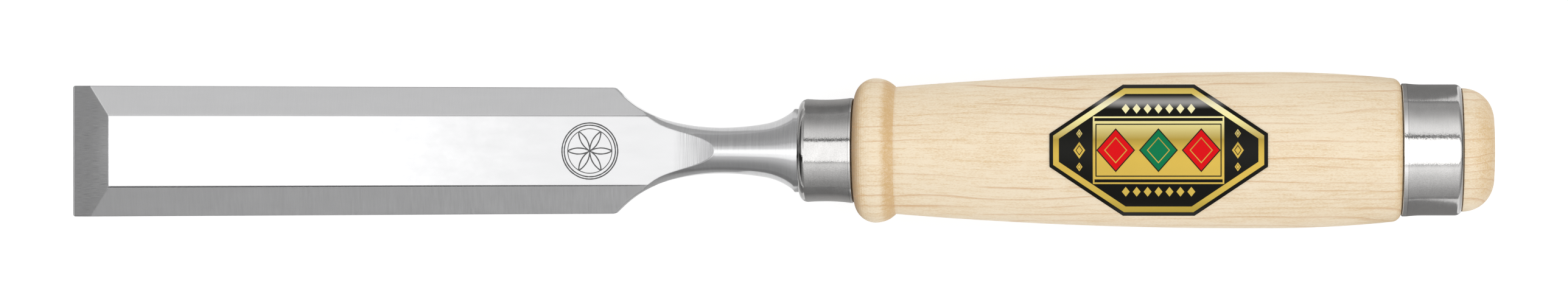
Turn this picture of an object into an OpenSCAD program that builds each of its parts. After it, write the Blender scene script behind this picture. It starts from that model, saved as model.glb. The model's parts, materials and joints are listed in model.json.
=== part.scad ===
// Bench chisel: one steel forging (blade, neck, bolster and tang), a turned wooden handle,
// a front ferrule, a rear striking hoop and a foil label. All sizes are in millimetres.
// Each piece is drawn in the tool's own frame: X runs along the handle's axis from the cutting
// edge, Z points away from the flat back. The finished tool is then laid down as it rests on
// a bench, on its cutting edge and on the bead of its handle.

/* [Overall] */
// Distance from the cutting edge to the thinnest place of the neck
neck_at = 129.5; // [110:0.5:150]
// Distance from there to the seat of the bolster on the ferrule
neck_to_seat = 15.4; // [15:0.1:18]
// Distance from that seat to the striking face at the other end
handle_len = 134.9; // [128:0.1:150]
// Depth of the flat back below the handle's axis
back_drop = 1.55; // [1.1:0.05:2.1]

/* [Blade] */
// Width at the cutting edge
blade_w = 26; // [22:1:32]
// How much each side draws in between the cutting edge and the neck
side_draw = 0.75; // [0:0.05:1.5]
// Thickness at the top of the cutting bevel
tip_t = 3.7; // [2.8:0.1:4.2]
// Thickness where the flat top ends, in front of the neck
root_t = 5.3; // [4.8:0.1:5.8]
// Angle of the cutting bevel to the back
edge_angle = 25; // [20:1:35]
// Width of the flat top at the cutting bevel
land_w = 14.1; // [11:0.1:16]
// How much each side of the flat top draws in on its way to the neck
land_draw = 0.25; // [0:0.05:1]
// Width of the narrow strip that is polished along each side of the flat top
land_edge_w = 0.3; // [0.1:0.05:0.6]
// Angle of the two side bevels to the flat top
side_angle = 17.5; // [10:0.5:18]
// Radius of the two corners of the cutting edge, seen from above
tip_corner_r = 0.5; // [0.2:0.1:1.5]
// Radius of the corner between a side and its shoulder
shoulder_corner_r = 0.9; // [0.3:0.1:2]
// How far in front of the neck's thinnest place the flat top starts to run out
land_run_out = 7; // [6.5:0.1:10]
// Radius of the wheel that grinds the run-out of the flat top
land_wheel_r = 26; // [20:1:32]
// How far in front of the neck's thinnest place the flat back starts to run out
back_run_out = 12.5; // [10.5:0.5:16]
// Radius of the wheel that grinds the run-out of the back
back_wheel_r = 20; // [15:1:26]

/* [Neck and bolster] */
// Diameter of the neck at its thinnest place
neck_d = 9.04; // [8.2:0.1:10]
// Radius of the long curve from the neck towards the blade
neck_front_r = 40; // [36:1:46]
// Angle at which that curve becomes the shoulder's curve
neck_front_angle = 15.4; // [14:0.2:16.5]
// Radius of the shoulder's curve
shoulder_r = 20.6; // [18:0.5:23]
// Height of the straight stretch between the shoulder's curve and its corner
shoulder_lead = 1.3; // [0.8:0.1:2]
// Radius at which the round neck opens out into the flat sides of the blade
blend_r = 11; // [9:0.5:13]
// Radius of the long curve from the neck towards the bolster
neck_rear_r = 50; // [44:1:54]
// Angle at which that curve becomes the bolster's flare
neck_rear_angle = 10; // [9:0.2:11]
// Radius of the bolster's flare
flare_r = 12; // [10.5:0.1:13.5]
// Diameter of the bolster
bolster_d = 16.4; // [15.2:0.1:17]
// Radius of the bolster's front edge
bolster_edge_r = 0.3; // [0.1:0.05:0.5]
// Width of the square tang at the bolster
tang_w = 7; // [6:0.25:8]
// Width of the tang at its far end
tang_tip_w = 3.5; // [2.5:0.25:4.5]
// Length of the tang inside the handle
tang_len = 62; // [45:1:80]

/* [Ferrule] */
// Length of the ferrule
ferrule_len = 10.65; // [9:0.05:13]
// Diameter behind the rounded front edge
ferrule_d = 20.2; // [19.6:0.1:21]
// How far the waist of the ferrule lies in from its front, on the radius
ferrule_waist = 0.13; // [0.05:0.01:0.3]
// How far the open rim flares out beyond the waist, on the radius
ferrule_flare = 0.33; // [0.1:0.01:0.6]
// Length of the straight lip at the open rim
ferrule_lip = 0.6; // [0.4:0.1:1]
// Wall of the ferrule at its waist
ferrule_wall = 1.1; // [0.8:0.05:1.4]
// Radius of the rounded front edge
ferrule_round = 1.7; // [1.2:0.1:2.2]

/* [Handle] */
// Diameter of the bead behind the ferrule
bead_d = 28.3; // [26.5:0.1:30]
// Radius of the front half of the bead
bead_front_r = 4.2; // [3.8:0.1:4.8]
// Radius of the rear half of the bead
bead_rear_r = 5.4; // [5:0.1:6.2]
// Diameter of the groove behind the bead
groove_d = 24.9; // [23.8:0.1:25.8]
// Largest diameter of the handle
belly_d = 30.45; // [29:0.1:32]
// Distance from the ferrule's seat to where the handle reaches that diameter
belly_back = 86.6; // [76:0.5:92]
// Length over which it keeps that diameter
belly_flat = 4.5; // [2:0.5:8]
// Diameter in front of the rounding that leads down to the hoop
heel_d = 28; // [27:0.1:29]
// Radius of the rounding in front of the hoop
heel_round = 2; // [1.5:0.1:2.4]
// Diameter of the wooden dome where it leaves the hoop
dome_d = 24; // [23.8:0.05:24.3]
// Radius of the edge of the dome
dome_round = 6.1; // [5.5:0.1:7.5]
// Diameter of the flat striking face
strike_d = 14.4; // [12.6:0.2:15.4]

/* [Hoop] */
// Length of the striking hoop
hoop_len = 11.6; // [10:0.2:14]
// Diameter of the hoop behind its flared rim
hoop_d = 25.46; // [25.2:0.02:26]
// How far the front rim flares out, on the radius
hoop_flare = 0.2; // [0.1:0.01:0.5]
// Length of the flared stretch
hoop_flare_len = 3.2; // [2.5:0.1:6]
// Length of the straight lip in front of the flared stretch
hoop_lip = 0.95; // [0.4:0.05:1.2]
// Wall of the hoop
hoop_wall = 0.95; // [0.8:0.05:1.2]
// Radius of the rounded rear edge
hoop_round = 1.4; // [1.1:0.1:1.8]

/* [Label] */
// Length of the label along the handle
label_len = 41.9; // [34:0.1:46]
// Width of the label seen from above
label_w = 25.4; // [20:0.1:26.5]
// Length of the straight stretch along each side of the label
label_side_len = 13.8; // [8:0.2:20]
// Width of the straight stretch across each end of the label
label_end_w = 6.4; // [3:0.2:10]
// Distance from the ferrule's seat to the front end of the label
label_back = 49.3; // [38:0.1:56]
// Thickness of the foil
label_t = 0.15; // [0.1:0.01:0.25]

/* [Fits] */
// Gap between a ring's inside and the wood, on the radius
ring_fit = 0.03; // [0.01:0.01:0.08]
// Gap between the end of a ring and the wood beside it
end_gap = 0.15; // [0.05:0.05:0.3]
// Gap between the tang and its hole, on each side
tang_fit = 0.15; // [0.05:0.05:0.3]
// Room between the end of the tang and the bottom of its hole
tang_room = 3; // [1:0.5:6]
// Film of glue under the label
glue_t = 0.02; // [0.01:0.01:0.05]
// Radius of the small edges of the two rings' rims
rim_edge_r = 0.25; // [0.1:0.05:0.35]

/* [Hidden] */
$fn = 96;
steps = 12;             // segments of a drawn arc
small_steps = 5;        // segments of a small edge
spare = 5;              // how far a cutting tool reaches past what it cuts
seat_at = neck_at + neck_to_seat;
tool_len = seat_at + handle_len;
half_w = blade_w / 2;
neck_r = neck_d / 2;
bolster_r = bolster_d / 2;

// Flat top of the blade: a straight line seen from the side
land_start = tip_t / tan(edge_angle);
land_end = neck_at - land_run_out;
back_end = neck_at - back_run_out;
land_slope = atan((root_t - tip_t) / (land_end - land_start));
land_z = tip_t - back_drop;
land_end_z = root_t - back_drop;

// Shoulder, seen from above: neck curve, shoulder curve, straight stretch and corner
side_slope = atan(side_draw / neck_at);
hand_over = [neck_at - neck_front_r * sin(neck_front_angle),
             neck_r + neck_front_r * (1 - cos(neck_front_angle))];
lead_r = half_w - side_draw - shoulder_lead;
lead_angle = acos(cos(neck_front_angle) - (lead_r - hand_over[1]) / shoulder_r);
lead_at = [hand_over[0] - shoulder_r * (sin(lead_angle) - sin(neck_front_angle)), lead_r];
corner_x = (lead_r + tan(lead_angle) * lead_at[0] - half_w) / (tan(lead_angle) - tan(side_slope));
corner_leg = shoulder_corner_r * tan((lead_angle - side_slope) / 2);
corner_c = [corner_x - corner_leg * cos(side_slope) - shoulder_corner_r * sin(side_slope),
            half_w - (corner_x - corner_leg * cos(side_slope)) * tan(side_slope)
            - shoulder_corner_r * cos(side_slope)];

// Bolster's flare
flare_at = [neck_at + neck_rear_r * sin(neck_rear_angle),
            neck_r + neck_rear_r * (1 - cos(neck_rear_angle))];
flare_end_r = bolster_r - bolster_edge_r;
flare_angle = acos(cos(neck_rear_angle) - (flare_end_r - flare_at[1]) / flare_r);
flare_end = flare_at[0] + flare_r * (sin(flare_angle) - sin(neck_rear_angle));

// Ferrule
ferrule_r = ferrule_d / 2;
waist_r = ferrule_r - ferrule_waist;
rim_r = waist_r + ferrule_flare;
ferrule_bore_r = waist_r - ferrule_wall;
ferrule_end = seat_at + ferrule_len;
waist_at = seat_at + ferrule_round + (ferrule_len - ferrule_round) * 0.4;
tang_hole_r = (tang_w / 2 + tang_fit) * sqrt(2);

// Handle
bead_r = bead_d / 2;
bead_at = ferrule_end + end_gap + bead_front_r;
bead_low_r = bead_r - bead_front_r;
groove_r = groove_d / 2;
groove_angle = acos((groove_r - bead_r + bead_rear_r) / bead_rear_r);
groove_at = bead_at + bead_rear_r * sin(groove_angle);
belly_r = belly_d / 2;
belly_at = seat_at + belly_back;
belly_front_r = chord_radius(belly_at - groove_at, belly_r - groove_r);
dome_r = dome_d / 2;
strike_angle = asin((strike_d / 2 - dome_r + dome_round) / dome_round);
dome_at = tool_len - dome_round * cos(strike_angle);
hoop_end = dome_at - end_gap;
hoop_at = hoop_end - hoop_len;
heel_angle = 20;
heel_at = hoop_at - end_gap - heel_round * cos(heel_angle);
heel_r = heel_d / 2;
belly_rear_at = belly_at + belly_flat;
belly_rear_r = chord_radius(heel_at - belly_rear_at, belly_r - heel_r);

label_at = seat_at + label_back;

// Hoop
hoop_r = hoop_d / 2;
hoop_bore_r = hoop_r - hoop_wall;
hoop_rim_r = hoop_r + hoop_flare;
hoop_end_angle = acos((hoop_bore_r - hoop_r + hoop_round) / hoop_round);

// How the tool rests: its cutting edge and the underside of the bead touch the bench
edge_to_bead = norm([bead_at, bead_low_r - back_drop]);
rest_tilt = atan2(bead_low_r - back_drop, bead_at) + asin(bead_front_r / edge_to_bead);
front_reach = back_drop * sin(rest_tilt);
rear_reach = tool_len * cos(rest_tilt) + strike_d / 2 * sin(rest_tilt);

// Radius of a curve that is level at one end and falls by drop over the length run
function chord_radius(run, drop) = (run * run + drop * drop) / (2 * drop);

// Points of an arc, with angles counted from the direction of the axis
function arc(c, r, from, to, n = steps) =
    [for (i = [0:n]) let (a = from + (to - from) * i / n) c + r * [cos(a), sin(a)]];

// Radius of the handle between the groove and the heel
function grip_r(x) =
    x < belly_at ? belly_r - belly_front_r + sqrt(pow(belly_front_r, 2) - pow(belly_at - x, 2)) :
    x < belly_rear_at ? belly_r :
    belly_r - belly_rear_r + sqrt(pow(belly_rear_r, 2) - pow(x - belly_rear_at, 2));

// A parabola that leaves a ring's waist at one end and reaches a height at the other
function swell(from, to, base, rise, n = steps) =
    [for (i = [0:n]) [from + (to - from) * i / n, base + rise * pow(i / n, 2)]];

function backwards(points) = [for (i = [len(points) - 1:-1:0]) points[i]];

// A turned piece: its profile is drawn as [place along the axis, radius]
module turned(profile) {
    rotate([0, 90, 0])
        rotate_extrude()
            polygon([for (p = profile) [p[1], p[0]]]);
}

// A solid with the same outline through the whole width, drawn as [x, z]
module side_cut(outline) {
    rotate([90, 0, 0])
        linear_extrude(height = 2 * blade_w, center = true)
            polygon(outline);
}

// Half of the blade's plan, from the cutting edge to the place where the neck is all round
function plan_edge() = concat(
    arc([tip_corner_r, half_w - tip_corner_r], tip_corner_r, 180, 90, small_steps),
    arc(corner_c, shoulder_corner_r, 90 - side_slope, 90 - lead_angle, small_steps),
    [lead_at],
    [for (i = [1:steps])
        let (a = lead_angle + (neck_front_angle - lead_angle) * i / steps)
        hand_over + shoulder_r * [sin(neck_front_angle) - sin(a), cos(neck_front_angle) - cos(a)]],
    [[neck_at, hand_over[1]]]);

// Curve of the neck towards the blade, from its thinnest place to the shoulder
function neck_front() =
    [for (i = [0:steps])
        let (a = neck_front_angle * i / steps)
        [neck_at - neck_front_r * sin(a), neck_r + neck_front_r * (1 - cos(a))]];

// Curve by which the round neck opens out until it clears the sides of the blade
function neck_blend() =
    [for (i = [1:steps])
        let (a = neck_front_angle + (90 - neck_front_angle) * i / steps)
        hand_over + blend_r * [sin(neck_front_angle) - sin(a), cos(neck_front_angle) - cos(a)]];

function neck_rear() =
    [for (i = [0:steps])
        let (a = neck_rear_angle * i / steps)
        [neck_at + neck_rear_r * sin(a), neck_r + neck_rear_r * (1 - cos(a))]];

function bolster_flare() =
    [for (i = [1:steps])
        let (a = neck_rear_angle + (flare_angle - neck_rear_angle) * i / steps)
        flare_at + flare_r * [sin(a) - sin(neck_rear_angle), cos(neck_rear_angle) - cos(a)]];

// The flat blade in plan, cut to the round form of the neck where the two meet
module blade_body() {
    intersection() {
        linear_extrude(height = 4 * root_t, center = true)
            polygon(concat(plan_edge(), backwards([for (p = plan_edge()) [p[0], -p[1]]])));
        turned(concat([[neck_at, 0]], neck_front(), neck_blend(),
            [[neck_blend()[steps - 1][0], blade_w + spare], [-spare, blade_w + spare], [-spare, 0]]));
    }
}

module neck_and_bolster() {
    turned(concat([[neck_at, 0]], neck_rear(), bolster_flare(),
        arc([flare_end + bolster_edge_r, flare_end_r], bolster_edge_r, 180, 90, small_steps),
        [[seat_at, bolster_r], [seat_at, 0]]));
}

// What the grinding wheel takes off above the flat top, up to the end of its run-out
module above_land() {
    wheel = [land_end - land_wheel_r * sin(land_slope), land_end_z + land_wheel_r * cos(land_slope)];
    side_cut(concat([[-spare, land_z - (land_start + spare) * tan(land_slope)]],
        arc(wheel, land_wheel_r, land_slope - 90, 0, 2 * steps),
        [[wheel[0] + land_wheel_r, wheel[1] + spare], [-spare, wheel[1] + spare]]));
}

module below_back() {
    side_cut(concat([[-spare, -back_drop]],
        arc([back_end, -back_drop - back_wheel_r], back_wheel_r, 90, 0, 2 * steps),
        [[back_end + back_wheel_r, -2 * back_wheel_r], [-spare, -2 * back_wheel_r]]));
}

module beyond_edge_bevel() {
    translate([0, -blade_w, -back_drop])
        rotate([0, -edge_angle, 0])
            translate([-spare, 0, 0])
                cube([4 * land_start, 2 * blade_w, 4 * root_t]);
}

// What lies outside a long face that leans outwards and starts inside the side of the flat top
module beyond_long_face(lean, inside) {
    run = hand_over[0] - land_start;
    translate([land_start, land_w / 2, land_z])
        rotate([0, 0, -atan(land_draw / run)])
            rotate([0, -land_slope, 0])
                translate([0, -inside, 0])
                    rotate([-lean, 0, 0])
                        translate([-2 * land_start, -spare, 0])
                            cube([run + 2 * land_start, blade_w + spare, 4 * root_t]);
}

// What lies outside one side bevel and outside the polished strip between it and the flat top
module beyond_side_bevel() {
    beyond_long_face(side_angle, 0);
    beyond_long_face(side_angle / 2, land_edge_w / 2 / cos(side_angle / 2));
}

// A square spike that narrows evenly: two wedges that cross
module tang_form(root_w, tip_w, length) {
    wedge = [[0, -root_w / 2], [length, -tip_w / 2], [length, tip_w / 2], [0, root_w / 2]];
    intersection() {
        linear_extrude(height = 2 * root_w, center = true)
            polygon(wedge);
        rotate([90, 0, 0])
            linear_extrude(height = 2 * root_w, center = true)
                polygon(wedge);
    }
}

// Puts the tool on the bench, centred over the origin and touching z = 0
module lay_down() {
    translate([-(front_reach + rear_reach) / 2, 0, back_drop * cos(rest_tilt)])
        rotate([0, -rest_tilt, 0])
            children();
}

module blade() {
    color("silver")
    lay_down() {
        difference() {
            union() {
                blade_body();
                neck_and_bolster();
            }
            above_land();
            below_back();
            beyond_edge_bevel();
            beyond_side_bevel();
            mirror([0, 1, 0])
                beyond_side_bevel();
        }
        translate([seat_at, 0, 0])
            tang_form(tang_w, tang_tip_w, tang_len);
    }
}

module front_ferrule() {
    outside = concat(
        arc([seat_at + ferrule_round, ferrule_r - ferrule_round], ferrule_round, 180, 90),
        backwards(swell(waist_at, seat_at + ferrule_round, waist_r, ferrule_waist)),
        swell(waist_at, ferrule_end - ferrule_lip, waist_r, ferrule_flare),
        arc([ferrule_end - rim_edge_r, rim_r - rim_edge_r], rim_edge_r, 90, 0, small_steps));
    color("silver")
    lay_down()
        difference() {
            turned(concat([[seat_at, 0]], outside, [[ferrule_end, 0]]));
            turned([[seat_at + ferrule_wall, 0], [seat_at + ferrule_wall, ferrule_bore_r],
                [ferrule_end + spare, ferrule_bore_r], [ferrule_end + spare, 0]]);
            translate([seat_at - spare, 0, 0])
                rotate([0, 90, 0])
                    cylinder(h = ferrule_len, r = tang_hole_r);
        }
}

module handle() {
    front = seat_at + ferrule_wall + end_gap;
    spigot_r = ferrule_bore_r - ring_fit;
    tenon_r = hoop_bore_r - ring_fit;
    bead_foot = acos((spigot_r - bead_low_r) / bead_front_r);
    color("burlywood")
    lay_down()
        difference() {
            turned(concat(
                [[front, 0], [front, spigot_r]],
                [[ferrule_end + end_gap, spigot_r], [ferrule_end + end_gap, bead_low_r]],
                arc([bead_at, bead_low_r], bead_front_r, 180, 90),
                arc([bead_at, bead_r - bead_rear_r], bead_rear_r, 90, 90 - groove_angle),
                [for (i = [1:steps]) let (x = groove_at + (belly_at - groove_at) * i / steps) [x, grip_r(x)]],
                [for (i = [0:steps])
                    let (x = belly_rear_at + (heel_at - belly_rear_at) * i / steps) [x, grip_r(x)]],
                arc([heel_at, heel_r - heel_round], heel_round, 90, heel_angle, small_steps),
                [[hoop_at - end_gap, tenon_r], [hoop_end + end_gap / 2, tenon_r],
                 [hoop_end + end_gap / 2, dome_r]],
                arc([dome_at, dome_r - dome_round], dome_round, 90, strike_angle),
                [[tool_len, 0]]));
            translate([front - spare, 0, 0])
                tang_form(tang_w + 2 * tang_fit, tang_tip_w + 2 * tang_fit, tang_len + tang_room + spare);
        }
}

module rear_hoop() {
    outside = concat(
        arc([hoop_at + rim_edge_r, hoop_rim_r - rim_edge_r], rim_edge_r, 180, 90, small_steps),
        backwards(swell(hoop_at + hoop_lip + hoop_flare_len, hoop_at + hoop_lip, hoop_r, hoop_flare)),
        arc([hoop_end - hoop_round * sin(hoop_end_angle), hoop_r - hoop_round], hoop_round,
            90, 90 - hoop_end_angle));
    color("silver")
    lay_down()
        difference() {
            turned(concat([[hoop_at, 0]], outside, [[hoop_end, 0]]));
            translate([hoop_at - spare, 0, 0])
                rotate([0, 90, 0])
                    cylinder(h = hoop_len + 2 * spare, r = hoop_bore_r);
        }
}

// Outline of the label seen from above: a long octagon
module label_outline() {
    end = [label_len, label_end_w] / 2;
    shoulder = [label_side_len, label_w] / 2;
    upper = [end, shoulder, [-shoulder[0], shoulder[1]], [-end[0], end[1]]];
    translate([label_at + end[0], 0])
        polygon(concat(upper, backwards([for (p = upper) [p[0], -p[1]]])));
}

module label() {
    places = [for (i = [0:steps]) label_at - spare + (label_len + 2 * spare) * i / steps];
    under = [for (x = places) [x, grip_r(x) + glue_t]];
    over = [for (x = places) [x, grip_r(x) + glue_t + label_t]];
    color("black")
    lay_down()
        intersection() {
            linear_extrude(height = belly_d)
                label_outline();
            turned(concat(under, backwards(over)));
        }
}

blade();
front_ferrule();
handle();
rear_hoop();
label();
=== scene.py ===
# %% [markdown]
# # A bevel-edge bench chisel
# The solids of the chisel come from its CAD model: one steel forging, a turned wooden handle, two
# steel rings and a foil label. This notebook gives them their finishes and a studio to lie in. The
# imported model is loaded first, because every size and place below is worked out from it.

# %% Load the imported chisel
import json
import math

import bpy
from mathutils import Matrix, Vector
from mathutils.bvhtree import BVHTree


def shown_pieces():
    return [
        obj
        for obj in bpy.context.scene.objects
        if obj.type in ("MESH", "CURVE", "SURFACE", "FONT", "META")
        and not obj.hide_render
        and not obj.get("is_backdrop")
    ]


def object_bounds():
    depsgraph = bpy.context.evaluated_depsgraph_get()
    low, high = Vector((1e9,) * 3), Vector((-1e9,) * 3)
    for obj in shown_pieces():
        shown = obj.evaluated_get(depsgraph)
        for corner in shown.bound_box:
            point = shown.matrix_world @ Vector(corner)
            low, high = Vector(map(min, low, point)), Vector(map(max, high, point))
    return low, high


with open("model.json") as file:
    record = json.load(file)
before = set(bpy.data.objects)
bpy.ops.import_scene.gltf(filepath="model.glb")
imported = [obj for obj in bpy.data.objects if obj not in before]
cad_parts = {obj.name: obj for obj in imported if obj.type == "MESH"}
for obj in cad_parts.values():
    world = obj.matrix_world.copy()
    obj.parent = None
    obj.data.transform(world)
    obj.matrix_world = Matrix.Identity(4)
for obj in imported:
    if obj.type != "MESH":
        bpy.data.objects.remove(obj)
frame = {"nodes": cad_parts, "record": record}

cad_low, cad_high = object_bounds()
blade = frame["nodes"]["blade"]
front_ferrule = frame["nodes"]["front_ferrule"]
handle = frame["nodes"]["handle"]
rear_hoop = frame["nodes"]["rear_hoop"]
label = frame["nodes"]["label"]
print("chisel", [round(1000 * side, 1) for side in cad_high - cad_low], "mm")

# %% [markdown]
# ## The view
# The picture looks straight down on the chisel. These points are read off the picture, scaled to
# 1568 by 300 pixels: the outermost places first, then places that are easy to find again. They
# settle where the camera stands, and at the end each is compared with where it lands in the scene.
# A name after the numbers says how the place is found: on which piece, and which side of it.

# %% Image points
W, H = 1568, 300
POINTS = {
    "cutting_edge": (72.8, None, "blade", "left"),
    "striking_face": (1495.2, None, "handle", "right"),
    "belly_top": (None, 71.9, "handle", "top"),
    "belly_bottom": (None, 228.4, "handle", "bottom"),
    "bevel_corner_top": (108.7, 115.7, "blade", "corner"),
    "bevel_corner_bottom": (108.7, 186.4, "blade", "corner"),
    "shoulder_top": (614.2, 88.2, "blade", "corner"),
    "shoulder_bottom": (614.2, 213.4, "blade", "corner"),
    "flat_end_top": (646.4, 117.7, "blade", "corner"),
    "flat_end_bottom": (643.4, 186.3, "blade", "corner"),
    "end_of_flat": (714.0, 151.0, "blade", "corner"),
    "ferrule_rear": (853.0, None, "front_ferrule", "right"),
    "hoop_front": (1401.2, None, "rear_hoop", "left"),
    "label_front": (1049.4, None, "label", "left"),
    "label_back": (1267.9, None, "label", "right"),
    "label_top": (None, 85.0, "label", "top"),
    "label_bottom": (None, 216.3, "label", "bottom"),
    "etched_rosette": (589.8, 151.0, "blade", "rosette"),
}

# %% [markdown]
# A camera can be settled by turning it until the picture fits, or by shifting its film. Here it
# looks straight down, so a hair's breadth of roll is enough and no shift is needed. The lens is a
# long one, because the two ends of the chisel are seen almost square on, and the height follows
# from the two outermost points. The sensor fit stays automatic.

# %% Camera
lens_mm = 117.39
sensor_mm = 36.0
camera_place = Vector((0.00155, 0.0001, 1.0158))
camera_roll = math.radians(-0.05)

camera_data = bpy.data.cameras.new("picture_camera")
camera_data.lens = lens_mm
camera_data.sensor_width = sensor_mm
camera_data.sensor_fit = "AUTO"
camera = bpy.data.objects.new("picture_camera", camera_data)
camera.location = camera_place
camera.rotation_euler.z = camera_roll
bpy.context.scene.collection.objects.link(camera)
bpy.context.scene.camera = camera
bpy.context.view_layer.update()
print("camera", round(camera_place.z, 3), "m up, lens", lens_mm, "mm")

# %% [markdown]
# Two functions tie the picture and the scene together. One says where a point of the scene lands
# in the picture. The other sends a ray from the camera through a point of the picture and returns
# where it meets a piece, so that whatever is added to a surface sits where the picture shows it.

# %% From the scene to the picture and back
LONG = max(W, H)
to_camera = camera.matrix_world.inverted()


def seen_at(point):
    """Where a point of the scene lands in the picture."""
    near = to_camera @ Vector(point)
    reach = LONG * camera_data.lens / camera_data.sensor_width / -near.z
    x = W / 2 - camera_data.shift_x * LONG + near.x * reach
    y = H / 2 + camera_data.shift_y * LONG - near.y * reach
    return x, y


def tree_of(obj):
    """A search tree of a piece as it is finished and placed."""
    finished = obj.evaluated_get(bpy.context.evaluated_depsgraph_get())
    mesh = finished.to_mesh()
    corners = [finished.matrix_world @ v.co for v in mesh.vertices]
    tree = BVHTree.FromPolygons(corners, [tuple(p.vertices) for p in mesh.polygons])
    finished.to_mesh_clear()
    return tree


def place(x, y, tree):
    """Where the ray through a point of the picture meets a piece, or the nearest place to it."""
    ray = Vector((x - W / 2 + camera_data.shift_x * LONG,
                  H / 2 - y + camera_data.shift_y * LONG,
                  -LONG * camera_data.lens / camera_data.sensor_width))
    ray = (camera.matrix_world.to_3x3() @ ray).normalized()
    start = camera.matrix_world.translation
    hit = tree.ray_cast(start, ray)[0]
    if hit is None:
        to_table = ray * (start.z / -ray.z)
        last_fifth = [start + to_table * (percent / 100) for percent in range(80, 101)]
        hit = min((tree.find_nearest(step) for step in last_fifth), key=lambda found: found[3])[0]
    return hit


# %% [markdown]
# ## The tool's own axes
# The chisel lies tilted, on its cutting edge and the bead of its handle. Everything that a lathe or
# a grinding wheel leaves on it follows the handle's axis instead of the bench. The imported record
# gives that axis with its mount on the striking face.

# %% Axes of the tool
mounts = {mount["name"]: mount for mount in frame["record"]["mounts"]}
butt = Vector(mounts["striking_face"]["pos_m"])
along = Vector(mounts["striking_face"]["axis"]).normalized()
side = Vector((0, 1, 0))
up = along.cross(side)
tool_length = (butt - Vector((cad_low.x, 0, 0))).dot(along)
edge_on_axis = butt - along * tool_length


def tool_mm(point):
    """A point in the tool's own axes: millimetres from the cutting edge, to the side and up."""
    offset = Vector(point) - edge_on_axis
    return [1000 * offset.dot(axis) for axis in (along, side, up)]


def reach_mm(obj):
    """The lowest and highest value of a piece along each of the tool's axes."""
    places = [tool_mm(v.co) for v in obj.data.vertices]
    return [(min(column), max(column)) for column in zip(*places)]


print("tool length", round(1000 * tool_length, 1), "mm, tilt",
      round(math.degrees(math.asin(along.z)), 2), "degrees")

# %% [markdown]
# Two of the image points place what the finishes need on the blade: the middle of the etched mark
# and the end of the flat top. The rings need no point, as their solids say where they begin and end.

# %% Places on the blade
blade_tree = tree_of(blade)
rosette_at = place(*POINTS["etched_rosette"][:2], blade_tree)
end_of_flat = tool_mm(place(*POINTS["end_of_flat"][:2], blade_tree))[0]
ferrule_x = reach_mm(front_ferrule)[0]
hoop_x = reach_mm(rear_hoop)[0]
print("rosette at", [round(c, 1) for c in tool_mm(rosette_at)], "mm")
print("flat top ends at", round(end_of_flat, 1), "mm, ferrule spans", [round(c, 1) for c in ferrule_x],
      "and hoop", [round(c, 1) for c in hoop_x])

# %% [markdown]
# ## Shader maths
# A finish is a recipe of masks and mixtures, and recipes read best as arithmetic. `Wire` wraps one
# output socket, so that `1 - mask` or `a * b` adds the Math node it stands for: numbers go through
# Math nodes, vectors through Vector Math nodes, and colours are mixed with Mix nodes, because a
# Math node would turn them grey. Every other node is made by `Shader.node`.

# %% Wires
class Wire:
    """One output socket of a node, with the arithmetic of numbers and vectors."""

    def __init__(self, shader, socket):
        self.shader = shader
        self.socket = socket

    def reckon(self, operation, *values):
        """Adds the Math node of an operation, or the Vector Math node where a value is a vector."""
        directed = any(isinstance(v, Wire) and v.socket.type != "VALUE" for v in values)
        if not directed:
            return self.shader.node("ShaderNodeMath", {"operation": operation}, enumerate(values))
        values = [(v, v, v) if isinstance(v, (int, float)) else v for v in values]
        return self.shader.node("ShaderNodeVectorMath", {"operation": operation}, enumerate(values))

    def __add__(self, other):
        return self.reckon("ADD", self, other)

    def __radd__(self, other):
        return self.reckon("ADD", other, self)

    def __sub__(self, other):
        return self.reckon("SUBTRACT", self, other)

    def __rsub__(self, other):
        return self.reckon("SUBTRACT", other, self)

    def __mul__(self, other):
        return self.reckon("MULTIPLY", self, other)

    def __rmul__(self, other):
        return self.reckon("MULTIPLY", other, self)

    def __truediv__(self, other):
        return self.reckon("DIVIDE", self, other)

    def __abs__(self):
        return self.reckon("ABSOLUTE", self)

    def least(self, other):
        return self.reckon("MINIMUM", self, other)

    def most(self, other):
        return self.reckon("MAXIMUM", self, other)

    def dot(self, direction):
        return self.shader.node("ShaderNodeVectorMath", {"operation": "DOT_PRODUCT"},
                                {0: self, 1: tuple(direction)}, out="Value")

    def length(self):
        return self.shader.node("ShaderNodeVectorMath", {"operation": "LENGTH"}, {0: self}, out="Value")

    def rise(self, start, end):
        """0 up to start, 1 from end on, and a smooth slope between them."""
        return self.shader.node("ShaderNodeMapRange", {"interpolation_type": "SMOOTHSTEP"},
                                {"Value": self, "From Min": start, "From Max": end})

    def hump(self, start, end, soft):
        """1 between start and end and 0 outside, with slopes as wide as soft says."""
        half = soft / 2
        return self.rise(start - half, start + half) * (1 - self.rise(end - half, end + half))


# %% [markdown]
# `Shader` fills one node tree. Its `node` method makes any node from its type, its settings and the
# values or wires of its inputs. The others are the few recipes that the finishes below share: a mix
# of two colours, random marks, and the place and the lean of the surface in the tool's own axes.

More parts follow.
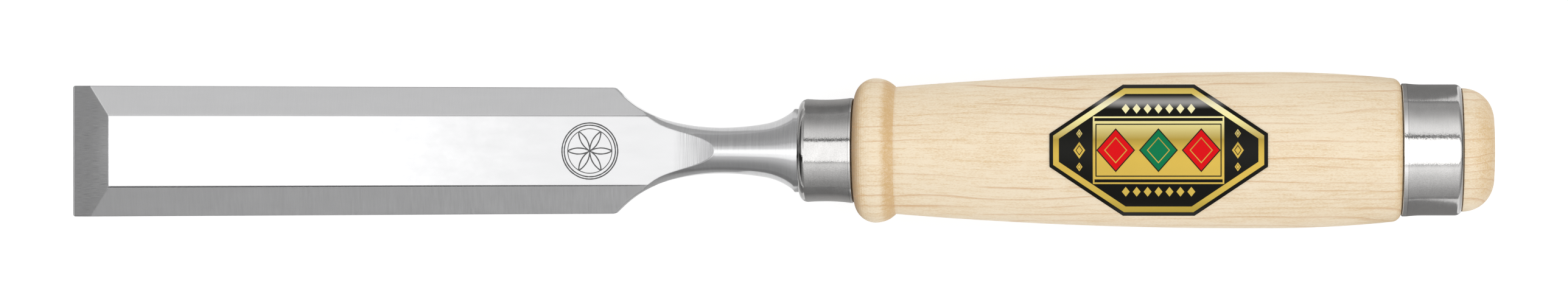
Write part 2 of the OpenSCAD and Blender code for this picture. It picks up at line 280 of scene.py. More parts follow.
# %% Shaders
class Shader:
    """A node tree that is being filled."""

    def __init__(self, tree):
        self.tree = tree

    def node(self, kind, settings=None, inputs=(), out=0):
        """Adds a node: first its settings, then the values or links of its sockets."""
        made = self.tree.nodes.new(kind)
        for name, value in (settings or {}).items():
            if name == "stops":
                self.set_stops(made.color_ramp, value)
            else:
                setattr(made, name, value)
        for name, value in dict(inputs).items():
            if isinstance(value, Wire):
                self.tree.links.new(value.socket, made.inputs[name])
            else:
                made.inputs[name].default_value = value
        return Wire(self, made.outputs[out]) if made.outputs else made

    @staticmethod
    def set_stops(ramp, stops):
        """Fills a colour ramp with its stops, each a position and a colour or a plain number."""
        while len(ramp.elements) < len(stops):
            ramp.elements.new(1.0)
        for element, (position, value) in zip(ramp.elements, stops):
            element.position = position
            element.color = value if isinstance(value, tuple) else (value, value, value, 1.0)

    def mix(self, low, high, share):
        """The colour low, turning into the colour high as share goes from 0 to 1."""
        return self.node("ShaderNodeMix", {"data_type": "RGBA"}, {0: share, 6: low, 7: high}, out=2)

    def vector(self, x, y, z=0.0):
        """Three wires or numbers as one vector."""
        return self.node("ShaderNodeCombineXYZ", None, {0: x, 1: y, 2: z})

    def marks(self, spot, rates, detail=2.0, roughness=0.5):
        """Soft random values around 0.5, rates saying how many patches a millimetre holds each way."""
        stretched = self.vector(*(wire * rate for wire, rate in zip(spot, rates)))
        return self.node("ShaderNodeTexNoise", None, {"Vector": stretched, "Scale": 1.0,
                                                      "Detail": detail, "Roughness": roughness})

    def tool_place(self):
        """Millimetres from the cutting edge along the axis, to the side and up."""
        spot = self.node("ShaderNodeTexCoord", out="Object") - tuple(edge_on_axis)
        return [spot.dot(axis * 1000) for axis in (along, side, up)]

    def facing(self):
        """How far the surface's normal leans along the axis, to the side and up."""
        normal = self.node("ShaderNodeNewGeometry", out="Normal")
        return [normal.dot(axis) for axis in (along, side, up)]

    def rounded_normal(self, radius_mm):
        """The normal, turned evenly over every edge as if it were rounded off."""
        return self.node("ShaderNodeBevel", {"samples": 6}, {"Radius": radius_mm / 1000})


# %% [markdown]
# Each finish is one material with one Principled shader. What stays the same all over a piece is
# set on the shader's own sockets, and only what changes over it is linked in. Colours are written
# from 0 to 255, as a screen shows them, and turned into the linear values that Blender works with.

# %% Finishes
def colour(red, green, blue):
    """A colour as it is read off a screen, from 0 to 255, for a node's colour socket."""
    def linear(value):
        value /= 255
        return value / 12.92 if value <= 0.04045 else ((value + 0.055) / 1.055) ** 2.4
    return (linear(red), linear(green), linear(blue), 1.0)


def plain_grey(value):
    """A grey of one linear value, for a node's colour socket."""
    return (value, value, value, 1.0)


black, white = plain_grey(0), plain_grey(1)


def new_finish(name, **constants):
    """A material with one Principled shader, whose unchanging values are set on its own sockets."""
    material = bpy.data.materials.new(name)
    material.use_nodes = True
    material.node_tree.nodes.clear()
    shader = Shader(material.node_tree)
    constants = {socket.replace("_", " "): value for socket, value in constants.items()}
    surface = shader.node("ShaderNodeBsdfPrincipled", None, constants)
    shader.node("ShaderNodeOutputMaterial", None, {"Surface": surface})
    return material, shader, surface.socket.node


def feed(principled, **wires):
    """Links what changes over the surface into the Principled shader."""
    for socket, wire in wires.items():
        wire.shader.tree.links.new(wire.socket, principled.inputs[socket.replace("_", " ")])


def dress(node, material):
    """Gives a CAD piece its finish."""
    for slot in node.material_slots:
        slot.material = material
    print(node.name, "is finished in", material.name)


# %% [markdown]
# ## The studio
# The real picture was taken under a wide overhead softbox, with a panel on each side and narrow
# gaps between them: polished steel shows those panels as bands along its round parts. Lamps could
# stand for them, but a sky that is painted by direction gives the same bands with less noise. All
# of a round part mirrors the sky at one angle along the tool's axis, so the sky is painted about
# that axis. The curves below give its brightness over the angle across, in degrees from straight up
# towards the top of the picture. The blade mirrors the front of the sky, the neck a strip behind it,
# and the rings the middle, where the side panels are brightest. So each of them has its own curve.

# %% Light panels
SOFTBOX = 2.0
tip_panels = [
    (-180, 0.28), (-110, 0.34), (-84, 0.36), (-61, 0.36), (-30, 0.36), (-27, 0.04), (-14, 0.04),
    (-12.5, SOFTBOX), (12, SOFTBOX), (28, 1.0), (36, 0.86), (50, 0.75), (95, 0.45), (180, 0.28)]
neck_panels = [
    (-180, 0.4), (-100, 0.42), (-84, 0.38), (-70, 0.39), (-57, 0.48), (-45, 0.70), (-38, 0.90),
    (-30, 1.0), (-25, SOFTBOX), (1, SOFTBOX), (6, 0.95), (12, 0.72), (28, 0.48), (46, 0.40),
    (60, 0.44), (75, 0.52), (90, 0.60), (180, 0.4)]
ring_panels = [
    (-180, 0.30), (-110, 0.36), (-85, 0.46), (-74, 0.55), (-60, 0.80), (-47, 1.0), (-40, 1.2),
    (-32, 1.35), (-28.5, 1.2), (-27.5, 0.6), (-25.5, 0.6), (-24.5, SOFTBOX), (19.5, SOFTBOX),
    (21, 0.1), (25, 0.1), (27, 1.15), (32, 1.35), (43, 1.2), (55, 0.9), (64, 0.65), (76, 0.48),
    (95, 0.45), (180, 0.30)]
soft_light = [
    (-180, 1.25), (-95, 1.3), (-60, 1.65), (-20, 0.86), (25, 0.86), (65, 1.66), (100, 1.1), (180, 1.1)]
neck_from = (-7.1, -6.2)    # degrees along the chisel where the neck's curve takes over
rings_from = (-2.5, -0.5)   # and where the rings' curve does
fade_front = (-47.5, -37.5)
fade_rear = (64.5, 76.5)
end_light = 0.2             # share of the brightness that is left beyond the two fades

# %% [markdown]
# The wood is lit by a plain soft light all round, at about the level at which a colour renders as
# it is written, and a little stronger from both sides than from above. The panels themselves are
# seen in reflections only, and the camera sees plain white.

# %% Sky
world = bpy.data.worlds.new("studio")
bpy.context.scene.world = world
world.use_nodes = True
world.node_tree.nodes.clear()
sky = Shader(world.node_tree)
looking = sky.node("ShaderNodeTexCoord", out="Generated")
x, y, z = (looking.dot(axis) for axis in (along, side, up))
across = y.reckon("ARCTAN2", y, z) * (0.5 / math.pi) + 0.5
lengthwise = x.reckon("ARCSINE", x) * (180 / math.pi)


def painted(curve):
    """Brightness over the angle across the chisel."""
    stops = [((angle + 180) / 360, value / SOFTBOX) for angle, value in curve]
    ramp = sky.node("ShaderNodeValToRGB", {"stops": stops}, {"Fac": across})
    return ramp.dot((1 / 3, 1 / 3, 1 / 3)) * SOFTBOX    # a ramp gives a grey, and this its value


# %% [markdown]
# The three curves are blended over the angle along the chisel, and they fade towards both ends of
# the sky. Light Path then tells the rays apart: mirrored rays see the panels, the camera sees white,
# and all others see the soft light.

# %% What each ray sees
panels = painted(tip_panels)
for curve, taking_over in ((neck_panels, neck_from), (ring_panels, rings_from)):
    share = lengthwise.rise(*taking_over)
    panels = panels * (1 - share) + painted(curve) * share
inside = lengthwise.rise(*fade_front) * (1 - lengthwise.rise(*fade_rear))
panels = panels * (inside * (1 - end_light) + end_light)
mirrored = sky.node("ShaderNodeLightPath", out="Is Glossy Ray")
seen = sky.node("ShaderNodeLightPath", out="Is Camera Ray")
brightness = painted(soft_light) * (1 - mirrored) + panels * mirrored
brightness = brightness * (1 - seen) + seen
background = sky.node("ShaderNodeBackground", None,
                      {"Color": sky.vector(brightness, brightness, brightness)})
sky.node("ShaderNodeOutputWorld", None, {"Surface": background})
bpy.context.scene.view_settings.view_transform = "Standard"
print("studio of", len(tip_panels + neck_panels + ring_panels), "panel stops")

# %% [markdown]
# The table is a plain white sheet. Its own colour makes it pale, and a little light of its own,
# which the camera, polished metal and glass see alike, lifts it to white. The rest of what it shows
# is real light, so the chisel keeps its soft shadow.

# %% Table
table_half = 3              # metres from its middle to its edges
table_white = 0.36          # its own colour
table_lift = 0.74           # and the strength of its own light


def stage_sheet(name, corners, height):
    """A level sheet that belongs to the studio."""
    mesh = bpy.data.meshes.new(name)
    mesh.from_pydata([(x, y, height) for x, y in corners], [], [range(len(corners))])
    sheet = bpy.data.objects.new(name, mesh)
    bpy.context.scene.collection.objects.link(sheet)
    sheet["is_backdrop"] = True
    return sheet


table = stage_sheet("table", [(-table_half, -table_half), (table_half, -table_half),
                              (table_half, table_half), (-table_half, table_half)], 0)
material, shader, principled = new_finish("white table", Roughness=1.0, Specular_IOR_Level=0.0,
                                          Base_Color=plain_grey(table_white),
                                          Emission_Strength=table_lift)
by_camera, by_metal, by_glass = (shader.node("ShaderNodeLightPath", out=f"Is {kind} Ray")
                                 for kind in ("Camera", "Glossy", "Transmission"))
seen = (by_camera + by_metal + by_glass).least(1.0)
feed(principled, Emission_Color=shader.mix(black, white, seen))
table.data.materials.append(material)
print("table", 2 * table_half, "m square")

# %% [markdown]
# Beside the neck and the two rings lie grey cards that show in polished metal only, as a
# photographer lays them to give round steel its dark flanks. They are lighter close to the chisel
# and all along the upper side of the neck, whose flank is paler in the picture, and dark beside the
# hoop.

# %% Grey of the cards
card_grey, near_grey = 0.27, 0.6
near_y, grey_y = 0.014, 0.05            # metres beside the axis, from light to dark
hoop_side = (0.05, 0.1)                 # metres along the table, over which all is dark
neck_end = (0.0025, 0.003)              # and where the light upper side of the neck ends

material, shader, principled = new_finish("grey card", Roughness=1.0, Specular_IOR_Level=0.0)
spot = shader.node("ShaderNodeTexCoord", out="Object")
card_x, card_y = spot.dot((1, 0, 0)), spot.dot((0, 1, 0))
darker = abs(card_y).rise(near_y, grey_y).most(card_x.rise(*hoop_side))
upper_neck = card_y.rise(0, 0.001) * (1 - card_x.rise(*neck_end))
darker = darker * (1 - upper_neck)
feed(principled, Base_Color=shader.mix(plain_grey(near_grey), plain_grey(card_grey), darker))
print("cards from grey", near_grey, "beside the chisel to", card_grey, "farther out")

# %% [markdown]
# Each card is one flat shape. Its near side is cut towards the chisel as far as the flank of its
# own part wants it, and given as places along the tool, in millimetres, with the gap there, in
# metres. Beyond the first cards lie wide ones, because the steepest part of a flank mirrors the far
# end of the table.

# %% Cut of the cards
card_gap, hip_gap, neck_gap, bolster_gap = 0.012, 0.006, 0.018, 0.045
upper_neck_gap, upper_bolster_gap, lip_gap = 0.04, 0.09, 0.8 * bolster_gap
card_reach, card_far = 0.3, 2.8         # where the first cards end, and the wide ones
card_height = 0.0005
hip_end, neck_start = end_of_flat - 14, end_of_flat + 4
bolster_start, cards_meet = ferrule_x[0] - 12, ferrule_x[0] - 1.5

neck_cut = [(end_of_flat - 32, hip_gap), (hip_end, hip_gap), (neck_start, neck_gap),
            (bolster_start, bolster_gap), (cards_meet, lip_gap)]
upper_cut = [(end_of_flat - 60, card_gap), (hip_end, card_gap), (neck_start, upper_neck_gap),
             (bolster_start, upper_bolster_gap), (cards_meet, upper_bolster_gap)]
ferrule_cut = [(cards_meet, card_gap), (ferrule_x[1] + 2, card_gap)]
hoop_cut = [(hoop_x[0] - 4, hip_gap), (hoop_x[1] + 6, hip_gap)]
far_front, far_rear = (-500, card_reach), (800, card_reach)
# 1 is the upper side of the picture and -1 the lower, then come the cut and the card's reach
cards = {"neck_bottom": (-1, neck_cut, card_reach),
         "ferrule_top": (1, ferrule_cut, card_reach), "ferrule_bottom": (-1, ferrule_cut, card_reach),
         "hoop_top": (1, hoop_cut, card_reach), "hoop_bottom": (-1, hoop_cut, card_reach),
         "neck_top": (1, upper_cut, card_far),
         "far_top": (1, [(cards_meet, card_reach), far_rear], card_far),
         "far_bottom": (-1, [far_front, far_rear], card_far)}
for name, (which, near_side, reach) in cards.items():
    far_side = [(near_side[-1][0], reach), (near_side[0][0], reach)]
    corners = [((edge_on_axis + along * (x / 1000)).x, which * y) for x, y in near_side + far_side]
    card = stage_sheet("card_" + name, corners, card_height)
    card.data.materials.append(material)
    card.visible_camera = card.visible_diffuse = card.visible_shadow = False
    card.visible_transmission = False
    print("card", name, "starts", round(1000 * near_side[0][1]), "mm beside the axis")

# %% [markdown]
# ## Steel of the blade
# The forging is ground on its flats and turned on its round parts. A metal shader with one
# roughness would look like plastic foil, because grinding and turning leave fine parallel marks
# that spread the light in one direction. So the normal is leaned a little to and fro in stripes:
# along the axis on turned and cross-ground faces, and to the side on the cutting bevel.
#
# Masks tell the faces apart by where each one looks, and their limits are sines: a normal leans
# 0.42 over the cutting bevel's 25 degrees and 0.30 over a side bevel's 17.5. One mask is the narrow
# strip along each side of the flat top, which the real blade shows as a thin dark line where it
# mirrors a dark gap. Here that line is painted shade in the steel's colour.

# %% Faces of the blade
bevel_end = (8.0, 8.6)          # mm from the cutting edge, behind the cutting bevel
shoulders = (115, 117)          # where the side bevels and the painted shade strips have ended
turned_from = (112, 116)
run_out_from = (end_of_flat - 8.5, end_of_flat - 5.5)

material, shader, principled = new_finish("ground and polished steel", Metallic=1.0)
at = shader.tool_place()
x, y = at[:2]
lean_along, lean_side, lean_up = shader.facing()

flat_blade = 1 - x.rise(*shoulders)
cutting_bevel = (0 - lean_along).rise(0.36, 0.40) * (1 - x.rise(*bevel_end))
side_bevel = abs(lean_side).hump(0.24, 0.40, 0.04) * lean_up.rise(0.88, 0.92) * flat_blade
# painted shade: the narrow strips along each side of the flat top, darkened in colour further down
painted_edge_shade = abs(lean_side).hump(0.11, 0.19, 0.03) * lean_up.rise(0.9, 0.95) * flat_blade
near_end = x.rise(*run_out_from)
flat_top = lean_up.rise(0.985, 0.992) * (1 - near_end)
run_out = lean_up.rise(0.8, 0.9) * abs(lean_side).rise(0.05, 0.02) * near_end
run_out = run_out * (1 - x.rise(end_of_flat - 0.2, end_of_flat + 0.2))
turned = x.rise(*turned_from) * (1 - flat_top) * (1 - run_out)
print("flat top grows dull from", round(run_out_from[0], 1), "to", round(end_of_flat, 1), "mm")

# %% [markdown]
# A rounded normal softens every edge of the forging by about a third of a millimetre, so that the
# edges catch the softbox or the gap beside it as honed edges do. On the turned parts the grooves of
# the lathe hide how the surface leans along the axis, and the light lies there as on a plain rod.

# %% Marks of grinding and turning
def leaning_normal(normal, direction, lean):
    """The normal, made to lean further towards a direction."""
    sway = normal.shader.node("ShaderNodeVectorMath", {"operation": "SCALE"},
                              {"Vector": tuple(direction), "Scale": lean})
    leaning = normal + sway
    return leaning.reckon("NORMALIZE", leaning)


def striped_normal(normal, stripes, direction, lean):
    """The normal, leaning to and fro along a direction as the stripes go round their middle."""
    return leaning_normal(normal, direction, (stripes - 0.5) * lean)


def upright_normal(normal, share):
    """The normal with a share of its lengthwise lean taken away, as fine turned grooves do."""
    return leaning_normal(normal, along, normal.dot(along) * share * -1)


turning = shader.marks(at, (5, 0.15, 0.15), detail=3.0)
grinding = shader.marks(at, (9, 0.3, 0.3), detail=4.0)
scratches = shader.marks(at, (8, 0.1))
whetting = shader.marks(at, (0.5, 14), detail=4.0)
haze = shader.marks(at, (0.12, 0.5, 0.5), detail=3.0)
mottle = shader.marks(at, (0.22, 0.3), detail=5.0, roughness=0.6)

edge_rounding = 0.35            # mm
print("edges of the forging look rounded by", edge_rounding, "mm")
normal = shader.rounded_normal(edge_rounding)
normal = upright_normal(normal, turned)
normal = striped_normal(normal, turning, along, turned * 0.03)
normal = striped_normal(normal, grinding, along, side_bevel * 0.08 + flat_top * 0.03)
normal = striped_normal(normal, scratches, along, run_out * 0.2)
normal = striped_normal(normal, whetting, side, cutting_bevel * 0.45)

# %% [markdown]
# The back half of the blade carries an etched mark. In its place stands a plain compass rosette:
# seven circles of one size, drawn with a pair of compasses and kept inside the middle one, with two
# close rings around them. It could be an image, but a circle is only a distance from a centre, so
# arithmetic draws it sharp at any size. The lines are thin, a little uneven and dull, as acid
# leaves them.

# %% Etched rosette
petal_r, ring_r = 4.4, 5.5      # mm
between_rings = 0.45
line_half = 0.11
rosette_x, rosette_y, _ = tool_mm(rosette_at)
spot = shader.vector(x - rosette_x, y - rosette_y)
centre_far = spot.length()
wavering = line_half * (0.5 + shader.marks(at, (1.3, 1.3), detail=3.0))


def drawn_circle(far, radius):
    """A thin line where the distance from a centre equals the radius, fading at its sides."""
    off = abs(far - radius) - wavering
    return 1 - off.rise(-0.02, 0.05)


petals = drawn_circle(centre_far, petal_r)
for sixth in range(6):
    turn = math.radians(60 * sixth)
    centre = (petal_r * math.cos(turn), petal_r * math.sin(turn), 0.0)
    petals = petals.most(drawn_circle((spot - centre).length(), petal_r))
petals = petals * (1 - centre_far.rise(petal_r, petal_r + 0.1))
etched = petals.most(drawn_circle(centre_far, ring_r))
etched = etched.most(drawn_circle(centre_far, ring_r - between_rings)) * flat_top
print("rosette of", 2 * ring_r, "mm at", round(rosette_x, 1), round(rosette_y, 1))

# %% [markdown]
# The steel has one grey, and every face is told how far it departs from it. The flat top grows
# greyer in soft patches towards the neck, and duller where it runs out. The cutting bevel is paler
# in its middle, the lower side bevel gets painted shade towards the neck, the strips along the flat
# top get painted shade lines, and the etched lines are dark. The mirror of the flats, the duller
# bevels and the etching differ in roughness too. How much each mark counts was set beside the picture.

# %% Blade steel
steel_tint = (1, 1, 1.01, 1)    # a trace of blue
steel_grey = 0.57
mirror_roughness = 0.12
towards_neck = (35, 100)        # mm from the cutting edge, over which the flat top turns greyer
patch_depth = 40                # mm by which its patches run ahead or lag behind
bevel_rear = (3.5, 8.0)         # mm, over which the cutting bevel turns paler
bevel_side = 11                 # mm to each side, where it no longer does
flat_loss, lower_bevel_painted_shade, turned_loss, run_out_loss = 0.125, 0.08, 0.04, 0.13
bevel_gain = 0.16
etched_loss, painted_edge_shade_depth = 0.8, 0.35

grey = steel_grey + (haze - 0.5) * 0.04 + (grinding - 0.5) * 0.05 * side_bevel
grey = grey + (whetting - 0.5) * 0.08 * cutting_bevel
grey = grey - flat_top * (x + (mottle - 0.5) * patch_depth).rise(*towards_neck) * flat_loss
grey = grey + cutting_bevel * x.rise(*bevel_rear) * (1 - abs(y) / bevel_side) * bevel_gain
more_at_end = x.rise(end_of_flat - 8, end_of_flat) * run_out_loss
grey = grey - run_out * (run_out_loss + more_at_end + (scratches - 0.5) * 0.35)
lower_side = (0 - lean_side).rise(0, 0.1)
# painted shade: the lower side bevel only, growing darker towards the neck
grey = grey - side_bevel * lower_side * x.rise(10, 110) * lower_bevel_painted_shade
grey = grey - turned * (turned_loss + (turning - 0.5) * 0.12)
# the etched lines are dark, and the edge strips get their painted shade line
grey = grey * (1 - etched * etched_loss) * (1 - painted_edge_shade * painted_edge_shade_depth)
rough = mirror_roughness
for face, duller in ((side_bevel, 0.18), (cutting_bevel, 0.2), (turned, 0.03), (etched, 0.35),
                     (run_out, 0.15)):
    rough = rough + face * duller
feed(principled, Base_Color=shader.mix(black, steel_tint, grey), Roughness=rough, Normal=normal)
dress(blade, material)

# %% [markdown]
# ## The two steel rings
# The ferrule and the striking hoop are pressed from tube and lightly polished, so they are duller
# than the blade and a little warmer, with fine pits that glitter where a band of light ends. The
# ferrule's wall leans a little. Its rim and the hoop's carry a painted highlight, with a painted
# shadow line beside them, and ends that face along the axis get painted shade. One loop finishes both.

# %% Ring steel
tube_tint = (1, 0.985, 0.97, 1)     # a trace of warmth
# name, piece, grey, lean of the wall, place and width of the rim in mm, and the rim's painted highlight
rings = [("ferrule steel", front_ferrule, 0.46, 0.052, ferrule_x[1], 0.55, 0.05),
         ("hoop steel", rear_hoop, 0.56, 0.0, hoop_x[0], 0.95, 0.14)]
for name, ring_piece, ring_grey, taper, rim_x, rim_wide, painted_rim_brightness in rings:
    material, shader, principled = new_finish(name, Metallic=1.0)
    at = shader.tool_place()
    x = at[0]
    lean_along = abs(shader.facing()[0])
    pits = shader.marks(at, (4.5, 4.5, 4.5), detail=4.0, roughness=0.65)
    lines = shader.marks(at, (12, 0.3, 0.3), detail=3.0)
    cloud = shader.marks(at, (0.5, 0.3, 0.3), detail=3.0)
    normal = shader.rounded_normal(0.15)
    normal = upright_normal(normal, (1 - lean_along.rise(0.15, 0.3)) * 0.9)
    normal = striped_normal(normal, pits, side, 0.14)
    normal = striped_normal(normal, lines, along, 0.03)
    normal = leaning_normal(normal, along, taper)
    from_rim = abs(x - rim_x)
    # painted highlight along the rim
    painted_rim_mask = 1 - from_rim.rise(rim_wide - 0.1, rim_wide)
    grey = ring_grey + (cloud - 0.5) * 0.12 + (lines - 0.5) * 0.06 + (pits - 0.5) * 0.2
    # the rim's painted highlight, and a thin painted shadow line just beyond it
    grey = grey + painted_rim_mask * painted_rim_brightness - from_rim.hump(rim_wide, rim_wide + 0.1, 0.1) * 0.15
    # painted shade on the ends that face along the axis
    grey = grey * (1 - lean_along.rise(0.25, 0.6) * 0.4)
    feed(principled, Base_Color=shader.mix(black, tube_tint, grey),
         Roughness=0.12 + (cloud - 0.5) * 0.08, Normal=normal)
    dress(ring_piece, material)

# %% [markdown]
# ## Wood of the handle
# The handle is turned from pale, close-grained wood. Painting lines on the outside would look
# wrong where the turning cuts through them, at the bead and the domed end. So the growth rings are
# solid cylinders in the wood, about a pith far to one side of the handle, and every surface cuts
# through them. The late wood at the end of each ring gives a line, which comes and goes.

# %% Growth rings
pith = (-64.0, 6.0)         # place of the tree's pith, to the side and up, in mm
ring_pitch = 1.75           # distance from one growth ring to the next
wandering, rippling = 6, 0.5    # how far a ring strays, slowly and quickly, in mm

material, shader, principled = new_finish("waxed pale wood", IOR=1.45)
at = shader.tool_place()
x, y, z = at
wander = shader.marks(at, (0.016, 0.06, 0.06))
ripple = shader.marks(at, (0.07, 0.5, 0.5), detail=3.0)
from_pith = shader.vector(y - pith[0], z - pith[1]).length()
count = (from_pith + (wander - 0.5) * wandering + (ripple - 0.5) * rippling) / ring_pitch
ring = count.reckon("FLOOR", count)
share = count - ring
chance = shader.node("ShaderNodeTexWhiteNoise", {"noise_dimensions": "1D"}, {"W": ring})
coming = shader.marks((x, ring), (0.045, 3.7), detail=3.0)
late_wood = share.rise(0.72, 0.94) * (1 - share.rise(0.95, 1.0))
line = late_wood * (chance * 0.6 + 0.4) * coming.rise(0.4, 0.64)
print("growth rings", ring_pitch, "mm apart")

# %% [markdown]
# Between the rings lie the fibres: long thin streaks and short dashes, paler and darker, over soft
# clouds of warmer wood. Where the surface turns to face along the grain, the open pores make it
# warmer. Faces that look forward at the ferrule get painted shade where the bead meets it. The groove
# behind the bead is darker and yellower: oil gathers there, and painted shade lies in the crease.
# How much each of them counts was set by comparing how far the colours spread in the picture.

# %% Handle wood
pale_wood = colour(233, 217, 190)
warm_wood = colour(214, 182, 134)
ring_line = colour(203, 160, 116)
oil_and_shade_groove_colour = colour(198, 158, 102)
ferrule_shade_colour = colour(146, 112, 74)
groove_x = (ferrule_x[1] + 6.2, ferrule_x[1] + 8.1)     # the groove behind the bead, in mm

fibre = shader.marks(at, (0.16, 7, 7), detail=4.0, roughness=0.65)
dashes = shader.marks(at, (2.0, 6, 6), detail=3.0, roughness=0.65)
figure = shader.marks(at, (0.11, 0.3, 0.3), detail=4.0, roughness=0.6)
streak = shader.marks(at, (0.06, 1.6, 1.6), detail=3.0)
cloud = shader.marks(at, (0.04, 0.14, 0.14), detail=3.0)
lean_along = shader.facing()[0]
end_grain = abs(lean_along).rise(0.1, 0.85)
# oil that gathers in the groove, together with painted shade in the crease
oil_and_shade_in_groove = x.hump(*groove_x, 1.6) * (dashes + streak)
# painted shade on faces that look forward, at the ferrule, where the bead meets it
painted_ferrule_shade = (0 - lean_along).rise(0.45, 0.98)
warmth = cloud.rise(0.35, 0.75) * 0.3 + streak.rise(0.4, 0.75) * 0.35 + (fibre - 0.5) * 1.5
warmth = warmth + (dashes - 0.5) * 1.9 - figure.rise(0.52, 0.68) * 0.2
warmth = (warmth + late_wood * 0.15 + end_grain * 0.5 + oil_and_shade_in_groove * 0.4).most(0.0).least(1.4)
wood = shader.mix(pale_wood, warm_wood, warmth)
wood = shader.mix(wood, oil_and_shade_groove_colour, (oil_and_shade_in_groove * 0.4).least(1.0))
wood = shader.mix(wood, ferrule_shade_colour, painted_ferrule_shade * 0.8)
wood = shader.mix(wood, ring_line, line * 0.75)
relief = shader.node("ShaderNodeBump", None, {"Strength": 0.2, "Distance": 0.0001,
                                             "Height": fibre - line * 0.5})
feed(principled, Base_Color=wood, Roughness=0.5 + (fibre - 0.5) * 0.2, Normal=relief)
dress(handle, material)

# %% [markdown]
# ## The foil label
# A printed foil label wraps over the handle, a long octagon like the real one. Its border, rule and
# colours follow the picture. Its middle holds a plain harlequin band of lozenges, with small gold
# ones around it. The design is worked out from the distance to the label's edge, so that the border
# keeps its width.

# %% Shape of the label
label_x, label_y, _ = reach_mm(label)
middle = ((label_x[0] + label_x[1]) / 2, (label_y[0] + label_y[1]) / 2)
half_long, half_wide = (label_x[1] - label_x[0]) / 2, (label_y[1] - label_y[0]) / 2
hair = 0.01                     # mm
label_spots = [tool_mm(v.co) for v in label.data.vertices]
end_half = max(abs(spot[1]) for spot in label_spots if spot[0] > label_x[1] - hair)
side_half = max(abs(spot[0] - middle[0]) for spot in label_spots if spot[1] > label_y[1] - hair)
slope = Vector((half_wide - end_half, half_long - side_half)).normalized()

material, shader, principled = new_finish("printed foil", Specular_IOR_Level=0.1)
x, y = shader.tool_place()[:2]
x = x - middle[0]
y = y - middle[1]
slanted = (half_long - abs(x)) * slope.x + (end_half - abs(y)) * slope.y
depth = (half_long - abs(x)).least(half_wide - abs(y)).least(slanted)
print("label", round(2 * half_long, 1), "by", round(2 * half_wide, 1), "mm, its straight sides",
      round(2 * side_half, 1), "and ends", round(2 * end_half, 1), "mm")

# %% [markdown]
# The print has four inks: black, gold, red and green. Gold is drawn first, as a mask from 0 to 1.
# The foil is not one gold in the picture, so its colour is a ramp across the label, with a painted
# highlight along the upper side. Then each large lozenge is laid over it in turn: a black outline,
# its ink, and a fine gold line inside.

# %% Print of the label
border, rule = 0.72, 1.1        # widths of the black border and the gold rule, in mm
band_long, band_wide = 12.6, 5.6        # half length and half width of the gold band
inner_line = (0.5, 0.72)        # the fine black line inside the band
outer_gap, outer_line = 0.9, 0.3        # and the fine gold line outside it
lozenge_long, lozenge_wide = 3.7, 4.2
lozenges = [(-8.2, "red"), (0.0, "green"), (8.2, "red")]
beads, bead_row = 2.1, 8.0      # spacing of the small gold lozenges and height of their row
bead_long, bead_wide = 0.8, 1.0
row_half = beads * 3.5          # half the length of a row of seven
pair_at = 15.2                  # where the small lozenges stand on each side of the band
pair_sizes = [(0.0, 1.7), (3.2, 0.9)]   # how far each is from the middle line, and its half height
pair_slimness = 0.7
outline, inked, fine_line = (-0.03, 0.01), (0.05, 0.09), (0.40, 0.46, 0.03)     # shares of a lozenge
blur = 0.06                     # softness of a printed edge, in mm
black_ink = colour(17, 17, 13)
inks = {"red": colour(210, 4, 14), "green": colour(0, 113, 69)}
gilding_with_painted_highlight = [(0.0, colour(166, 142, 46)), (0.14, colour(220, 190, 86)), (0.3, colour(218, 185, 85)),
           (0.5, colour(190, 160, 68)), (0.58, colour(168, 142, 60)), (0.75, colour(248, 238, 168)),
           (0.84, colour(255, 247, 196)), (0.93, colour(222, 196, 100)), (1.0, colour(176, 150, 56))]


def lozenge(across, down, half_x, half_y):
    """1 at the middle of a lozenge and 0 on its outline."""
    return 1 - (abs(across) / half_x + abs(down) / half_y)


def panel_depth(half_x, half_y):
    """How far a place lies inside a rectangle, in mm."""
    return (half_x - abs(x)).least(half_y - abs(y))


band = panel_depth(band_long, band_wide)
gold = depth.hump(border, border + rule, blur)
gold = gold.most(band.rise(-blur, blur) * (1 - band.hump(*inner_line, blur)))
gold = gold.most(panel_depth(band_long, band_wide + outer_gap).hump(0.0, outer_line, blur))
bead_count = x / beads
row = bead_count.reckon("WRAP", bead_count, 0.5, -0.5) * beads
in_row = 1 - abs(x).rise(row_half - blur, row_half + blur)
gold = gold.most(lozenge(row, abs(y) - bead_row, bead_long, bead_wide).rise(0.0, 0.12) * in_row)
for height, size in pair_sizes:
    pair = lozenge(abs(x) - pair_at, abs(y) - height, size * pair_slimness, size)
    gold = gold.most(pair.rise(0.0, 0.1) - pair.hump(0.4, 0.55, 0.05))
# the foil's tones, with a painted highlight along the upper side
foil = shader.node("ShaderNodeValToRGB", {"stops": gilding_with_painted_highlight}, {"Fac": y / (2 * half_wide) + 0.5})
print_colour = shader.mix(black_ink, foil, gold)
for place_x, name in lozenges:
    shape = lozenge(x - place_x, y, lozenge_long, lozenge_wide)
    print_colour = shader.mix(print_colour, black_ink, shape.rise(*outline))
    print_colour = shader.mix(print_colour, inks[name], shape.rise(*inked))
    print_colour = shader.mix(print_colour, foil, shape.hump(*fine_line))
    gold = gold * (1 - shape.rise(*outline))
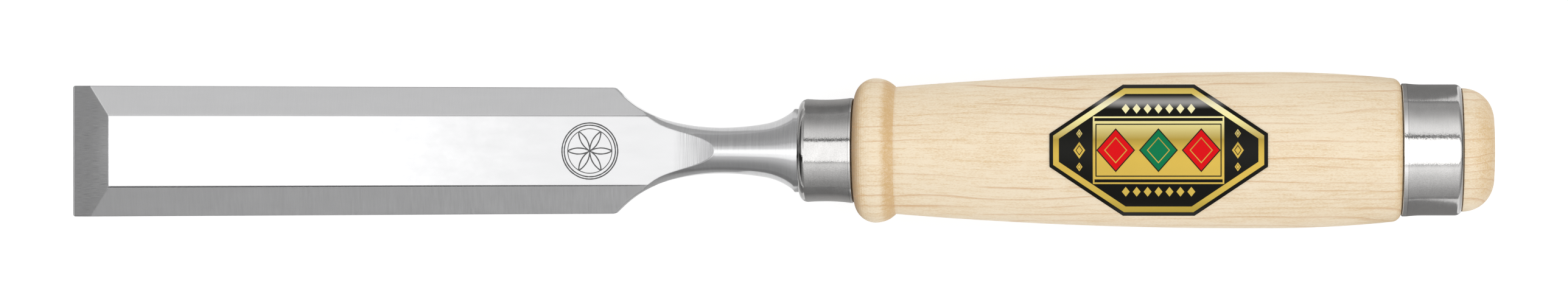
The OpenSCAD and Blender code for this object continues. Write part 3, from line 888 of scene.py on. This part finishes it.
print("label has", len(lozenges), "large lozenges and rows of small ones", beads, "mm apart")

# %% [markdown]
# A painted reflection, a soft light streak, lies along the far side of the label, where its lacquer
# turns away.

# %% Label foil
reflection_at, reflection_half = 9.3, 0.9       # mm to the side of the label's middle, and how wide
reflection_long = 15                        # mm to each end, where it has faded
painted_reflection_white = colour(235, 232, 228)
painted_reflection_share = 0.36
# painted reflection: a light streak mixed into the print's colour
streak = 1 - (abs(y - reflection_at) / reflection_half).rise(0.0, 1.6)
streak = streak * (1 - (abs(x) / reflection_long).rise(0.5, 1.0))
print_colour = shader.mix(print_colour, painted_reflection_white, streak * painted_reflection_share)
wrinkle = shader.marks((x, y), (0.15, 0.3))
feed(principled, Base_Color=print_colour, Metallic=gold * 0.35, Roughness=0.32 + (wrinkle - 0.5) * 0.1)
dress(label, material)

# %% [markdown]
# ## Image points against the scene
# Each image point is compared with where its place lands now. Edges are found among the vertices
# that the camera can see, not from boxes, because a box of a tilted piece is larger than it looks.

# %% Compare with the picture
finished = {piece.name: tree_of(piece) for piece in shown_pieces()}


def shown_vertices(name):
    """Where the vertices of a piece that the camera can see land in the picture."""
    off_surface = 0.0001        # m, so that the ray doesn't meet the face it starts from
    graph = bpy.context.evaluated_depsgraph_get()
    piece = frame["nodes"][name].evaluated_get(graph)
    seen = []
    for vertex in piece.data.vertices:
        point = piece.matrix_world @ vertex.co
        ray = (camera.location - point).normalized()
        start = point + ray * off_surface
        if not any(tree.ray_cast(start, ray)[0] for tree in finished.values()):
            seen.append(seen_at(point))
    return seen


def found(target, way, shown):
    """Where the thing that an image point names lands in the picture."""
    if way == "rosette":
        return seen_at(rosette_at)
    if way == "corner":
        return min(shown, key=lambda spot: math.dist(spot, target))
    axis = 0 if way in ("left", "right") else 1
    pick = min if way in ("left", "top") else max
    return pick(shown, key=lambda spot: spot[axis])


shown = {name: shown_vertices(name) for name in frame["nodes"]}
for point_name, (px, py, name, way) in POINTS.items():
    spot = found((px, py), way, shown[name])
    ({"dx": None if px is None else round(spot[0] - px, 2),
                          "dy": None if py is None else round(spot[1] - py, 2)})
